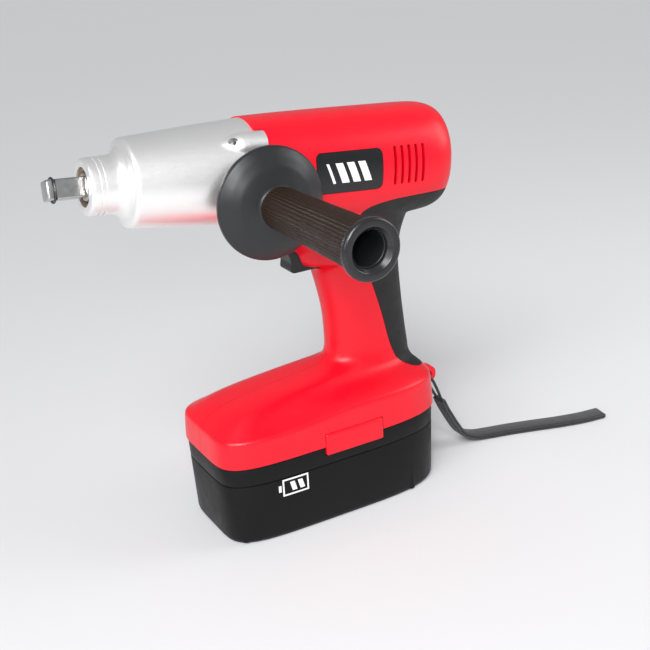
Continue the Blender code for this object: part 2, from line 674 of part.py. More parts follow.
def make_side_handle():
    core = [
        (GUARD_RIM, STUD_R + GAP), (GUARD_RIM, 10.5), (45.5, 11), (47.6, 16), (45.8, 24), (42.6, 31), (39.4, 35.4),
        (GUARD_RIM, 36.2), (GUARD_RIM, GUARD_R), (41.2, GUARD_R), (42.4, 36.2), (45.4, 31.8), (48.6, 25), (50.8, 17),
        (51.6, 13.6), (52.6, 12.2), (158.9, 12.2), (158.9, 10.6), (66, 10.6), (66, STUD_R + GAP),
    ]
    turned("side_handle_core", core, HANDLE, BLACK, 24)
    sleeve = [(53, 12.5), (53, 13.1), (56, 13.5), (100, 14.2), (150, 15.2), (158.9, 15.6), (158.9, 12.5)]
    turned("side_handle_sleeve", sleeve, HANDLE, SLEEVE_LOOK, 26)
    end_ring = [(159.2, 10.8), (159.2, 17.4), (160.2, HANDLE_END_R), (163.2, HANDLE_END_R), (HANDLE_END, 17.2),
                (HANDLE_END, 13.6), (163.2, HANDLE_BORE_R), (161.2, 10.8)]
    turned("side_handle_end_ring", end_ring, HANDLE, BLACK, 26)
    stud = [(30.6, 0), (30.6, 4.2), (31.6, STUD_R), (66.4, STUD_R), (66.4, 8.4), (71.6, 8.4), (72.4, 7.4), (72.4, 0)]
    turned("side_handle_stud", stud, HANDLE, STEEL, 16)
    washer = [(37.3, STUD_R + GAP), (37.3, 9.6), (38.3, 9.6), (38.3, STUD_R + GAP)]
    turned("side_handle_washer", washer, HANDLE, STEEL, 20)


# ---------------------------------------------------------------- battery

def cell_centres():
    """Twenty cells in three staggered rows along X."""
    centres = []
    for row, (y, count) in enumerate(((-20.0, 7), (0.0, 6), (20.0, 7))):
        for k in range(count):
            centres.append((CELL_PITCH * (k - (count - 1) / 2), y))
    return centres


def make_battery():
    tray = stack("battery_tray", TRAY, 0.0, BLACK)
    cut(tray, stack("tray_inside", [(2.6, 3.6), (60, 2.6)], 1.6, BLACK))
    lid = stack("battery_lid", LID, 0.0, BLACK)
    cut(lid, stack("lid_inside", [(40, 2.4), (57.6, 2.4)], 1.4, BLACK))
    join(lid, block("stem", (-72, -13, 57), (-28, 13, 84), BASE, BLACK, 2.0))
    cut(lid, block("stem_inside", (-69.5, -10.5, 50), (-30.5, 10.5, 81.5), BASE, BLACK))
    for side in (1, -1):
        low, high = sorted((side * 38.6, side * 52))
        slot = block("button_pocket", (BUTTON_X[0] - GAP, low, BUTTON_Z[0] - GAP), (BUTTON_X[1] + GAP, high, 64), BASE, BLACK)
        cut(lid, slot)
    for x, y in battery_screw_points():
        join(tray, cylinder("tray_pillar", (x, y, 1.5), (x, y, 45.4), 3.6, BASE, BLACK, 10))
        join(lid, cylinder("lid_pillar", (x, y, 46.4), (x, y, 58.5), 3.6, BASE, BLACK, 10))
        cut(tray, cylinder("tray_hole", (x, y, -2), (x, y, 50), 1.9, BASE, BLACK, 8))
        cut(tray, cylinder("tray_sink", (x, y, -2), (x, y, 5.0), 3.4, BASE, BLACK, 11))
        cut(lid, cylinder("lid_pilot", (x, y, 44), (x, y, 56), 1.9, BASE, BLACK, 8))
    for k, (x, y) in enumerate(battery_screw_points()):
        shape = [(54, 0), (54, 1.5), (4.7, 1.5), (4.7, 2.9), (3.0, 2.9), (2.3, 2.2), (2.3, 0)]
        place = Matrix.Translation(Vector((x, y, 0)) * MM)
        turned(f"battery_screw_{k + 1}", shape, place, DARK_STEEL, 10)
    pack = block("cell_pack", (-76, -27, 3.0), (76, 27, 5.0), BASE, CELL_LOOK)
    for x, y in cell_centres():
        join(pack, cylinder("cell", (x, y, 4.0), (x, y, 44.6), CELL_R, BASE, CELL_LOOK, 8))
    terminals = block("terminal_block", (-66, -9.5, 84.4), (-34, 9.5, 91), BASE, BLACK)
    contacts = block("contact_block", (-68, -10.5, 96), (-32, 10.5, 103.5), BASE, BLACK)
    for y in (-6, 0, 6):
        join(contacts, block("blade", (-56, y - 0.5, 88), (-44, y + 0.5, 98), BASE, COPPER))
        cut(terminals, block("blade_slot", (-58, y - 1.2, 86), (-42, y + 1.2, 94), BASE, BLACK))


def battery_screw_points():
    """Centres of the battery's four screws."""
    return [(76.5, 34.0), (76.5, -34.0), (-57.0, 38.0), (-57.0, -38.0)]


def make_buttons():
    for side, word in ((1, "left"), (-1, "right")):
        low, high = sorted((side * 42.0, side * 47.4))
        corner, far_corner = (BUTTON_X[0], low, BUTTON_Z[0]), (BUTTON_X[1], high, BUTTON_Z[1])
        block(f"release_button_{word}", corner, far_corner, BASE, RED, 1.0)
        middle = sum(BUTTON_X) / 2
        place = Matrix.Translation(Vector((middle, 0, 65.5)) * MM) @ Matrix.Rotation(-side * math.pi / 2, 4, "X")
        wire(f"release_spring_{word}", coil(3.4, 33.6, 41.2, 3, 8), 0.8, place, STEEL)


# ---------------------------------------------------------------- wrist strap

def make_strap():
    x, z = LUG
    loop_r = 6.5
    down = Vector((-0.42, 0, -0.91)).normalized()
    top = Vector((x, 0, z)) + down * 0.2
    centre = top + down * loop_r
    points = []
    for k in range(13):
        t = math.pi * k / 12
        points.append(centre + Vector((0, loop_r * math.cos(t), 0)) - down * loop_r * math.sin(t))
    run = 20.0
    left = [centre + Vector((0, loop_r, 0)) * s + down * d for s, d in ((0.55, run), (0.78, run * 0.66), (0.93, run * 0.33))]
    right = [Vector((p.x, -p.y, p.z)) for p in reversed(left)]
    wire("strap_cord", left + points + right, CORD_D, BASE, STRAP_LOOK, 2)
    start = centre + down * (run + 1.2)
    make_webbing(start, down)


def make_webbing(start, down):
    """Doubled webbing that hangs from the cord and lies on the surface behind the base."""
    route = [
        start, start + down * 12, (-126.5, 0.5, 13.5), (-133.0, 1.0, 7.2), (-142.0, 2.2, 3.6), (-153.0, 4.5, 2.6),
        (-170.0, 9.0, 2.5), (-190.0, 15.5, 2.5), (-210.0, 22.5, 2.5), (-230.0, 28.0, 2.5), (-247.0, 30.5, 2.5),
    ]
    path = smooth_path([Vector(p) for p in route], 3)
    rings = []
    across = Vector((0, 1, 0))
    for i, at in enumerate(path):
        along = (path[min(i + 1, len(path) - 1)] - path[max(i - 1, 0)]).normalized()
        side = (across - along * across.dot(along)).normalized()
        up = along.cross(side)
        section = oval(STRAP_WIDTH / 2, STRAP_THICK / 2, 4.0, 8)
        rings.append([at + side * a + up * b for a, b in section])
    loft("wrist_strap", rings, BASE, STRAP_LOOK)


def smooth_path(points, steps):
    """Catmull-Rom curve through the points."""
    padded = [points[0] * 2 - points[1], *points, points[-1] * 2 - points[-2]]
    path = []
    for a, b, c, d in zip(padded, padded[1:], padded[2:], padded[3:]):
        for k in range(steps):
            t = k / steps
            path.append(0.5 * (2 * b + (c - a) * t + (2 * a - 5 * b + 4 * c - d) * t * t + (3 * b - a - 3 * c + d) * t ** 3))
    path.append(points[-1])
    return path


def main():
    make_hammer_case()
    make_anvil()
    make_drive_line()
    make_motor()
    outer = as_mesh(housing_outer("housing_outer"))
    make_housing("housing_left", 1, outer)
    make_housing("housing_right", -1, outer)
    make_skins()
    as_cutter(outer)
    make_screws()
    make_trigger()
    make_side_handle()
    make_battery()
    make_buttons()
    make_strap()


main()
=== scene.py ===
"""Looks of the cordless impact wrench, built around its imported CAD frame.

Lengths in the helpers are millimetres, as in the part's own source; objects are in metres, +Z up.
The drive line has its own frame, with its origin at the centre of the nose face and +X out of it.
"""

import json
import math

import bmesh
import bpy
import numpy as np
from mathutils import Matrix, Vector


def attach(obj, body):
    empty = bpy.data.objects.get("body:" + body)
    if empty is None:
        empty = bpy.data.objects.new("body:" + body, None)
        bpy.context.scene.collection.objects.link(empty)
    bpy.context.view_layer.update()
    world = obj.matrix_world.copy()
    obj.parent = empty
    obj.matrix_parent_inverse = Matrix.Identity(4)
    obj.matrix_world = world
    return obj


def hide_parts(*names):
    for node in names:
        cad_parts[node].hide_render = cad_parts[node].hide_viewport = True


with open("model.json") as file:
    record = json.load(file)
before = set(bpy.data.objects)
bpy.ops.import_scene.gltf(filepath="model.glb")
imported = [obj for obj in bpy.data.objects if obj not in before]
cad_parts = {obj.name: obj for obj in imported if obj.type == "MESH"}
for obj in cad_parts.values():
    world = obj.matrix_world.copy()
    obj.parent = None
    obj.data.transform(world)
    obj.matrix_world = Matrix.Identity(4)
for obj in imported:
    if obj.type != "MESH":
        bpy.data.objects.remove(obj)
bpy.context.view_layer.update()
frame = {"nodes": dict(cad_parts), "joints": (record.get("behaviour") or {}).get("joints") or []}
NODES = frame["nodes"]
JOINTS = {joint["name"]: joint for joint in frame["joints"]}

MM = 0.001
BASE = Matrix.Identity(4)
SPIN_AXIS = Vector(JOINTS["motor_spin"]["axis"])
TILT = math.atan2(SPIN_AXIS.z, SPIN_AXIS.x)
DRIVE = Matrix.Translation(JOINTS["motor_spin"]["pos_m"]) @ Matrix.Rotation(-TILT, 4, "Y")
DRIVE_SPIN = DRIVE @ Matrix.Rotation(math.pi / 2, 4, "Y")
HANDLE_AT = DRIVE.inverted() @ Vector(JOINTS["handle_turn"]["pos_m"]) / MM
HANDLE = DRIVE @ Matrix.Translation(HANDLE_AT * MM) @ Matrix.Rotation(-math.pi / 2, 4, "X")

CASE_REAR = -107.4        # joint between the hammer case and the housing, on the drive line
SKIN = 2.0                # depth of the recesses for the rubber and the name plates
GAP = 0.3                 # clearance between pieces that touch
EAR_CIRCLE, EAR_TOP, EAR_HALF, EAR_REAR = 33.0, 38.4, 8.0, -113.0
SEAM_Z = 60.5
BASE_X, BASE_FRONT, BASE_REAR, BASE_HALF = -8.0, 98.0, 83.0, 46.5
LUG = (-99.0, 69.0)
BUTTON_X, BUTTON_Z = (-31.5, 15.0), (53.5, 70.0)
FINE = 96                 # points round a lofted or turned shape

# Barrel of the housing on the drive line: x, centre height, half width, half height
BARREL = [
    (-104.0, 0.1, 35.4, 35.4), (-135.0, -1.0, 36.5, 37.3), (-175.0, -2.4, 37.2, 39.2), (-208.0, -2.6, 37.2, 39.5),
    (-236.0, -1.3, 36.6, 38.2), (-248.0, -1.0, 34.6, 36.6), (-255.0, -1.0, 29.6, 32.6), (-259.0, -2.0, 18.0, 22.0),
]
# Base and grip in one sweep: z, front x, rear x, half width, x of the widest point, corner exponents front and rear
BODY = [
    (60.5, 90.0, -91.0, 46.5, -8.0, 5.5, 3.4), (66.0, 89.8, -90.8, 46.4, -8.0, 5.5, 3.4),
    (73.0, 89.4, -90.4, 46.1, -8.0, 5.5, 3.4), (78.8, 88.9, -89.7, 46.0, -8.0, 5.4, 3.4),
    (80.4, 87.9, -88.9, 45.0, -8.0, 5.2, 3.3), (82.4, 85.2, -87.2, 42.0, -8.0, 4.9, 3.2),
    (86.0, 81.0, -84.9, 37.0, -8.0, 4.4, 3.1),
    (91.0, 70.0, -82.8, 31.0, -9.0, 3.8, 2.8), (95.8, 44.0, -81.6, 25.6, -14.0, 3.2, 2.6),
    (98.6, 18.0, -81.0, 22.9, -24.0, 2.8, 2.45), (100.6, 1.0, -80.8, 21.6, -36.0, 2.5, 2.35),
    (103.6, -10.5, -80.5, 20.4, -45.0, 2.35, 2.35), (109.0, -14.9, -80.0, 19.2, -47.5, 2.35, 2.35),
    (120.0, -15.8, -79.0, 18.3, -47.4, 2.35, 2.35), (142.0, -14.8, -77.2, 18.2, -46.0, 2.35, 2.35),
    (167.0, -10.0, -76.0, 18.8, -43.0, 2.35, 2.35), (176.4, -6.8, -76.8, 19.3, -41.0, 2.5, 2.35),
    (180.6, 3.6, -77.2, 19.6, -38.0, 2.8, 2.35), (184.6, 6.6, -78.0, 19.9, -37.0, 2.8, 2.35),
    (192.0, 10.0, -80.0, 20.6, -36.0, 2.7, 2.35), (203.0, 24.0, -85.0, 23.0, -30.5, 2.5, 2.35),
    (211.0, 34.0, -90.0, 26.0, -28.0, 2.35, 2.35), (224.0, 38.0, -94.0, 30.0, -28.0, 2.35, 2.35),
]
# Border of the rubber on the housing's underside and the grip's back, in the drive line's X and Z
RUBBER = [
    (-254.0, -20.0), (-215.0, -22.0), (-199.0, -24.0), (-188.0, -27.5), (-183.5, -34.0), (-184.5, -44.0),
    (-190.0, -62.0), (-197.0, -79.0), (-203.0, -94.0), (-209.0, -110.0), (-214.5, -128.0), (-219.0, -140.0),
    (-224.5, -147.0), (-233.0, -151.0), (-246.0, -153.0),
]
HOUSING_SCREWS = [
    (-47.0, 112.0, 12.0), (-52.0, 148.0, 12.0), (-97.0, 226.0, 27.0), (62.0, 78.0, 34.0),
]


# ---------------------------------------------------------------- shape rules

def power(value, exponent):
    return math.copysign(abs(value) ** exponent, value)


def section(front, rear, half, split, exp_front, exp_rear, count=FINE):
    """Closed outline with a front and a rear half of different roundness."""
    points = []
    for i in range(count):
        t = 2 * math.pi * i / count
        exponent = exp_front if math.cos(t) > 0 else exp_rear
        reach = front - split if math.cos(t) > 0 else split - rear
        x = split + reach * power(math.cos(t), 2 / exponent)
        points.append((x, half * power(math.sin(t), 2 / exponent)))
    return points


def plan(inset, count=FINE):
    """Plan outline of the base, stood in by an inset."""
    front, rear = BASE_X + BASE_FRONT - inset, BASE_X - BASE_REAR + inset
    return section(front, rear, BASE_HALF - inset, BASE_X, 5.5, 3.4, count)


def through(rows, steps):
    """Rows of numbers on a smooth curve through the given rows."""
    rows = np.array(rows, float)
    padded = np.vstack([2 * rows[0] - rows[1], rows, 2 * rows[-1] - rows[-2]])
    out = []
    for a, b, c, d in zip(padded, padded[1:], padded[2:], padded[3:]):
        for t in np.arange(steps) / steps:
            cubic = (2 * a - 5 * b + 4 * c - d) * t * t + (3 * b - a - 3 * c + d) * t ** 3
            out.append(0.5 * (2 * b + (c - a) * t + cubic))
    return out + [rows[-1]]


def rounded(points, radius, closed=False, steps=4):
    """Polyline with each corner replaced by a short curve that starts up to a radius away from it."""
    points = [Vector(p) for p in points]
    count = len(points)
    out = []
    for i, at in enumerate(points):
        if not closed and i in (0, count - 1):
            out.append(tuple(at))
            continue
        before, after = points[i - 1] - at, points[(i + 1) % count] - at
        reach = min(radius, before.length * 0.48, after.length * 0.48)
        start, end = at + before.normalized() * reach, at + after.normalized() * reach
        for k in range(steps + 1):
            t = k / steps
            out.append(tuple(start.lerp(at, t).lerp(at.lerp(end, t), t)))
    return out


def arc(centre, radius, start, end, steps):
    """Points of an arc between two angles in degrees."""
    angles = [math.radians(start + (end - start) * k / steps) for k in range(steps + 1)]
    return [(centre[0] + radius * math.cos(t), centre[1] + radius * math.sin(t)) for t in angles]


def ear_turns():
    return [math.radians(45 + 90 * k) for k in range(4)]


def ear_points():
    """Centres of the four case screws in the drive line's Y and Z."""
    return [(EAR_CIRCLE * math.cos(t), EAR_CIRCLE * math.sin(t)) for t in ear_turns()]


def ear_ring(x, turn, top, half, grow=0.0, count=32):
    """Section of a screw ear: an oval that stands up to a radius, wider than it is tall."""
    out, along = (math.cos(turn), math.sin(turn)), (-math.sin(turn), math.cos(turn))
    tall = half * 0.82
    ring = []
    for i in range(count):
        t = 2 * math.pi * i / count
        a, b = (half + grow) * math.cos(t), top - tall + (tall + grow) * math.sin(t)
        ring.append((x, out[0] * b + along[0] * a, out[1] * b + along[1] * a))
    return ring


# ---------------------------------------------------------------- mesh helpers

def mesh_object(name, verts, faces, place=BASE):
    """Object from points in millimetres, with its place already in its vertices."""
    data = bpy.data.meshes.new(name)
    data.from_pydata([place @ (Vector(v) * MM) for v in verts], [], faces)
    bm = bmesh.new()
    bm.from_mesh(data)
    bmesh.ops.recalc_face_normals(bm, faces=bm.faces)
    bm.to_mesh(data)
    bm.free()
    obj = bpy.data.objects.new(name, data)
    bpy.context.scene.collection.objects.link(obj)
    return obj


def ring_faces(rows, count, closed=False):
    """Quads between rows of points, each row a closed ring."""
    faces = []
    pairs = list(zip(range(rows), range(1, rows))) + ([(rows - 1, 0)] if closed else [])
    for low, high in pairs:
        for i in range(count):
            j = (i + 1) % count
            faces.append((low * count + i, low * count + j, high * count + j, high * count + i))
    return faces


def loft(name, rings, place=BASE):
    """Closed body through rings of points, capped at both ends."""
    count = len(rings[0])
    verts = [point for ring in rings for point in ring]
    faces = ring_faces(len(rings), count)
    faces.append(tuple(range(count)))
    faces.append(tuple(range(len(verts) - count, len(verts))))
    return mesh_object(name, verts, faces, place)


def turned(name, profile, place=DRIVE_SPIN, segments=FINE, wobble=None):
    """Body turned about local Z from (height, radius) points; ends on the axis close to a point."""
    solid = min(profile[0][1], profile[-1][1]) == 0
    inner = profile[1:-1] if solid else profile
    verts = []
    for h, r in inner:
        for i in range(segments):
            t = 2 * math.pi * i / segments
            grown = r + (wobble(t, h) if wobble else 0.0)
            verts.append((grown * math.cos(t), grown * math.sin(t), h))
    faces = ring_faces(len(inner), segments, closed=not solid)
    if solid:
        for end, row in ((0, 0), (-1, len(inner) - 1)):
            verts.append((0, 0, profile[end][0]))
            for i in range(segments):
                j = (i + 1) % segments
                faces.append((row * segments + i, row * segments + j, len(verts) - 1))
    return mesh_object(name, verts, faces, place)


def block(name, low, high, place=BASE, bevel=0.0, segments=3):
    bm = bmesh.new()
    bmesh.ops.create_cube(bm, size=1.0)
    for vert in bm.verts:
        vert.co = Vector([lo + (hi - lo) * (c + 0.5) for c, lo, hi in zip(vert.co, low, high)]) * MM
    if bevel:
        bmesh.ops.bevel(bm, geom=bm.edges[:], offset=bevel * MM, segments=segments, affect="EDGES", profile=0.5)
    bm.transform(place)
    data = bpy.data.meshes.new(name)
    bm.to_mesh(data)
    bm.free()
    obj = bpy.data.objects.new(name, data)
    bpy.context.scene.collection.objects.link(obj)
    return obj


def rod(name, start, end, radius, place=BASE, segments=32, far_radius=None):
    """Cylinder, or cone, between two points."""
    start, end = Vector(start), Vector(end)
    turn = (end - start).to_track_quat("Z", "Y").to_matrix()
    rings = []
    for centre, r in ((start, radius), (end, radius if far_radius is None else far_radius)):
        angles = [2 * math.pi * i / segments for i in range(segments)]
        rings.append([centre + turn @ Vector((r * math.cos(t), r * math.sin(t), 0)) for t in angles])
    return loft(name, rings, place)


def prism(name, outline, low, high, place=DRIVE):
    """An outline in X and Z, run along Y between two values."""
    return loft(name, [[(x, y, z) for x, z in outline] for y in (low, high)], place)


def bake(obj):
    """Applies an object's modifiers to its mesh."""
    bpy.context.view_layer.update()
    evaluated = obj.evaluated_get(bpy.context.evaluated_depsgraph_get())
    data = bpy.data.meshes.new_from_object(evaluated)
    obj.modifiers.clear()
    obj.data = data
    return obj


def combine(obj, operation, *others, solver="MANIFOLD"):
    """Boolean of an object with others, which are used up."""
    for other in others:
        step = obj.modifiers.new(operation.lower(), "BOOLEAN")
        step.operation = operation
        step.solver = solver
        step.object = other
        bake(obj)
        bpy.data.objects.remove(other)
    return obj


def cut(obj, *others):
    return combine(obj, "DIFFERENCE", *others)


def join(obj, *others):
    return combine(obj, "UNION", *others)


def copy_of(obj, name):
    made = bpy.data.objects.new(name, obj.data.copy())
    bpy.context.scene.collection.objects.link(made)
    return made


def melted(obj, voxel, rounds):
    """Remeshes a body evenly and smooths it, so that where its parts meet becomes a fillet."""
    remesh = obj.modifiers.new("even", "REMESH")
    remesh.mode = "VOXEL"
    remesh.voxel_size = voxel * MM
    smooth = obj.modifiers.new("fillet", "SMOOTH")
    smooth.factor = 0.5
    smooth.iterations = rounds
    return bake(obj)


def merged(name, objects):
    """One object from several meshes."""
    bm = bmesh.new()
    for obj in objects:
        bm.from_mesh(obj.data)
        bpy.data.objects.remove(obj)
    data = bpy.data.meshes.new(name)
    bm.to_mesh(data)
    bm.free()
    made = bpy.data.objects.new(name, data)
    bpy.context.scene.collection.objects.link(made)
    return made


def piece(obj, look, body, slot, *nodes, sharp=32):
    """Finishes a piece: its material, its body and the CAD nodes that it stands for."""
    obj.data.materials.clear()
    obj.data.materials.append(look)
    if obj.type == "MESH":
        obj.data.shade_smooth()
        obj.data.set_sharp_from_angle(angle=math.radians(sharp))
    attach(obj, body)
    if nodes:
        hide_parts(*nodes)
    return obj


# ---------------------------------------------------------------- materials

class Look:
    """A node material under construction: a Principled shader and what feeds it."""

    def __init__(self, name, colour, roughness, metallic=0.0):
        self.mat = bpy.data.materials.new(name)
        self.mat.use_nodes = True
        self.tree = self.mat.node_tree
        self.shader = self.tree.nodes["Principled BSDF"]
        self.shader.inputs["Base Color"].default_value = (*colour, 1.0)
        self.shader.inputs["Roughness"].default_value = roughness
        self.shader.inputs["Metallic"].default_value = metallic
        self.colour = colour
        self.roughness = roughness

    def node(self, kind, **values):
        made = self.tree.nodes.new(kind)
        for key, value in values.items():
            socket = made.inputs.get(key.replace("_", " "))
            if socket is not None:
                socket.default_value = value
            else:
                setattr(made, key, value)
        return made

    def link(self, source, target):
        self.tree.links.new(source, target)

    def place(self, scale=(1.0, 1.0, 1.0), turn=(0.0, 0.0, 0.0), uv=None):
        """Object coordinates in metres, or a UV map's, after a scale and a turn."""
        source = self.node("ShaderNodeUVMap", uv_map=uv) if uv else self.node("ShaderNodeTexCoord")
        mapping = self.node("ShaderNodeMapping", Scale=scale, Rotation=turn)
        self.link(source.outputs["UV" if uv else "Object"], mapping.inputs["Vector"])
        return mapping.outputs["Vector"]

    def noise(self, scale, detail=3.0, vector=None):
        made = self.node("ShaderNodeTexNoise", Scale=scale, Detail=detail)
        self.link(vector or self.place(), made.inputs["Vector"])
        return made.outputs["Fac"]

    def ranged(self, value, low, high, start=0.3, stop=0.7):
        made = self.node("ShaderNodeMapRange", From_Min=start, From_Max=stop, To_Min=low, To_Max=high)
        self.link(value, made.inputs["Value"])
        return made.outputs["Result"]

    def tint(self, value, low, high):
        """Base colour between two multiples of the look's own colour."""
        mix = self.node("ShaderNodeMix", data_type="RGBA")
        self.link(value, mix.inputs["Factor"])
        for socket, share in ((mix.inputs[6], low), (mix.inputs[7], high)):
            socket.default_value = (*[c * share for c in self.colour], 1.0)
        self.link(mix.outputs[2], self.shader.inputs["Base Color"])

    def vary(self, value, spread):
        """Roughness that wanders round the look's own value."""
        self.link(self.ranged(value, self.roughness - spread, self.roughness + spread), self.shader.inputs["Roughness"])

    def bump(self, height, depth_mm, strength=1.0):
        made = self.node("ShaderNodeBump", Strength=strength, Distance=depth_mm * MM)
        self.link(height, made.inputs["Height"])
        previous = self.shader.inputs["Normal"]
        if previous.is_linked:
            self.link(previous.links[0].from_socket, made.inputs["Normal"])
        self.link(made.outputs["Normal"], previous)


def moulded(name, colour, roughness, grain_mm, depth_mm, spread=0.05, shade=0.06, specular=0.5):
    """Moulded plastic or rubber: fine grain, wandering gloss and a faint change of shade."""
    look = Look(name, colour, roughness)
    look.shader.inputs["Specular IOR Level"].default_value = specular
    look.tint(look.noise(38.0, 4.0), 1.0 - shade, 1.0 + shade)
    look.vary(look.noise(120.0, 5.0), spread)
    look.bump(look.noise(1.0 / (grain_mm * MM), 2.0), depth_mm)
    return look


def metal(name, colour, roughness, grain_mm, depth_mm, stretch=(1.0, 1.0, 1.0), spread=0.06):
    """Bare metal with grain or tool marks, stretched across the drive line where it was turned."""
    look = Look(name, colour, roughness, 1.0)
    look.tint(look.noise(60.0, 5.0), 0.9, 1.06)
    look.vary(look.noise(260.0, 5.0), spread)
    marks = look.place(stretch, (0.0, TILT, 0.0))
    look.bump(look.noise(1.0 / (grain_mm * MM), 3.0, marks), depth_mm)
    return look


def webbing_look():
    """Woven strap: crosswise ribs of a plain weave over its own UV map, in millimetres."""
    look = Look("webbing_look", (0.016, 0.016, 0.018), 0.82)
    ribs = look.node("ShaderNodeTexWave", Scale=0.42, bands_direction="Y", wave_profile="SIN")
    threads = look.node("ShaderNodeTexWave", Scale=0.36, bands_direction="X", wave_profile="SIN")
    weave = look.place(uv="weave")
    for wave in (ribs, threads):
        wave.inputs["Distortion"].default_value = 0.4
        look.link(weave, wave.inputs["Vector"])
    crossing = look.node("ShaderNodeMath", operation="MULTIPLY")
    look.link(ribs.outputs["Fac"], crossing.inputs[0])
    look.link(threads.outputs["Fac"], crossing.inputs[1])
    look.tint(crossing.outputs["Value"], 0.5, 2.0)
    look.bump(crossing.outputs["Value"], 0.35)
    look.shader.inputs["Sheen Weight"].default_value = 0.25
    look.shader.inputs["Sheen Roughness"].default_value = 0.5
    return look.mat


def braid_look():
    """Thin braided cord with a slight gloss."""
    look = Look("braid_look", (0.02, 0.02, 0.022), 0.42)
    twist = look.node("ShaderNodeTexWave", Scale=420.0, bands_direction="DIAGONAL", Distortion=1.5)
    look.link(look.place(), twist.inputs["Vector"])
    look.tint(twist.outputs["Fac"], 0.6, 1.8)
    look.bump(twist.outputs["Fac"], 0.25)
    return look.mat


def red_look():
    look = moulded("red_look", (0.74, 0.001, 0.014), 0.34, 0.4, 0.004, 0.04, 0.04)
    look.shader.inputs["Specular IOR Level"].default_value = 0.42
    return look.mat


def cast_look():
    """Satin cast aluminium with a fine sparkle."""
    look = Look("cast_look", (0.95, 0.94, 0.93), 0.4, 0.85)
    look.tint(look.noise(45.0, 3.0), 0.96, 1.02)
    look.vary(look.noise(1500.0, 2.0), 0.07)
    look.bump(look.noise(1800.0, 2.0), 0.012)
    return look.mat


def worn_print():
    look = Look("worn_print", (0.86, 0.86, 0.84), 0.5)
    look.tint(look.noise(900.0, 4.0), 0.82, 1.0)
    look.bump(look.noise(2200.0, 2.0), 0.01)
    return look.mat


RED = red_look()
CAST = cast_look()
BLACK = moulded("black_look", (0.005, 0.005, 0.0055), 0.4, 0.45, 0.01, 0.05, 0.2).mat
PACK = moulded("pack_look", (0.004, 0.004, 0.0045), 0.44, 0.5, 0.012, 0.05, 0.2, 0.2).mat
GUARD = moulded("guard_look", (0.011, 0.012, 0.0135), 0.38, 0.6, 0.012, 0.05, 0.2).mat
LIP = moulded("lip_look", (0.014, 0.014, 0.015), 0.25, 0.6, 0.01, 0.06, 0.2).mat
RUBBER_LOOK = moulded("rubber_look", (0.004, 0.004, 0.004), 0.6, 0.5, 0.02, 0.06, 0.2).mat
SLEEVE = moulded("sleeve_look", (0.02, 0.01, 0.006), 0.42, 0.4, 0.01, 0.06, 0.25, 0.22).mat
LABEL = moulded("label_look", (0.008, 0.008, 0.009), 0.24, 0.8, 0.004, 0.03, 0.1).mat
PRINT = worn_print()
STEEL = metal("steel_look", (0.5, 0.5, 0.49), 0.3, 0.3, 0.003, (4.0, 0.3, 0.3), 0.04).mat
RING_STEEL = metal("ring_steel_look", (0.5, 0.49, 0.47), 0.35, 0.3, 0.01).mat
DARK_STEEL = metal("dark_steel_look", (0.11, 0.11, 0.115), 0.42, 0.3, 0.015).mat
BRONZE = metal("bronze_look", (0.3, 0.2, 0.11), 0.42, 0.25, 0.02).mat
COPPER = metal("copper_look", (0.62, 0.28, 0.15), 0.36, 0.3, 0.02, (0.4, 4.0, 4.0)).mat
CELL = moulded("cell_look", (0.03, 0.1, 0.32), 0.35, 0.8, 0.02, 0.05, 0.1).mat
WEBBING = webbing_look()
BRAID = braid_look()


# ---------------------------------------------------------------- housing, rubber and name plates

def barrel(name, inset=0.0, steps=4, count=FINE):
    """Barrel of the housing, stood in by an inset, with a shallow crown at the rear."""
    rows = [(BARREL[0][0] + 6, *BARREL[0][1:]), *BARREL]
    rings = []
    for x, centre, half, tall in through(rows, steps):
        at = max(x, BARREL[-1][0]) + inset * ((BARREL[0][0] - x) / (BARREL[0][0] - BARREL[-1][0])) ** 6
        rings.append([(at, y, centre + z) for y, z in section(half - inset, inset - half, tall - inset, 0, 2.15, 2.15, count)])
    if not inset:
        x, centre, half, tall = BARREL[-1]
        rings.append([(x - 0.5, y, centre + z) for y, z in section(half / 2, -half / 2, tall / 2, 0, 2.15, 2.15, count)])
    return loft(name, rings, DRIVE)


def crease_lift(x, z):
    """How far the fold between the hood's side and top rises behind the front."""
    along = min(1.0, max(0.0, (46.0 - x) / 62.0))
    up = max(0.0, 1.0 - abs(z - 82.0) / 14.0)
    return 5.0 * (3 * along ** 2 - 2 * along ** 3) * (3 * up ** 2 - 2 * up ** 3)


def stem(name, inset=0.0, drop=0.0, steps=4, count=FINE):
    """Base hood and grip in one sweep, stood in by an inset and lowered by a drop."""
    rows = [(BODY[0][0] - 8, *BODY[0][1:]), *BODY]
    rings = []
    for z, front, rear, half, split, sharp_front, sharp_rear in through(rows, steps):
        ring = section(front - inset, rear + inset, half - inset, split, sharp_front, sharp_rear, count)
        rings.append([(x, y, z - drop + crease_lift(x, z)) for x, y in ring])
    return loft(name, rings)


def grown(outline, amount):
    """Outline moved out by an amount along the mean of each point's two edge normals."""
    count = len(outline)
    area = sum(a[0] * b[1] - b[0] * a[1] for a, b in zip(outline, outline[1:] + outline[:1]))
    moved = []
    for i in range(count):
        before, at, after = (Vector(outline[(i + k) % count]) for k in (-1, 0, 1))
        edge = (at - before).normalized() + (after - at).normalized()
        moved.append(tuple(at + Vector((edge.y, -edge.x)).normalized() * math.copysign(amount, area)))
    return moved


def rubber_outline():
    border = [tuple(point) for point in through(RUBBER, 4)]
    return [(-290.0, -20.0), *border, (-290.0, -153.0)]


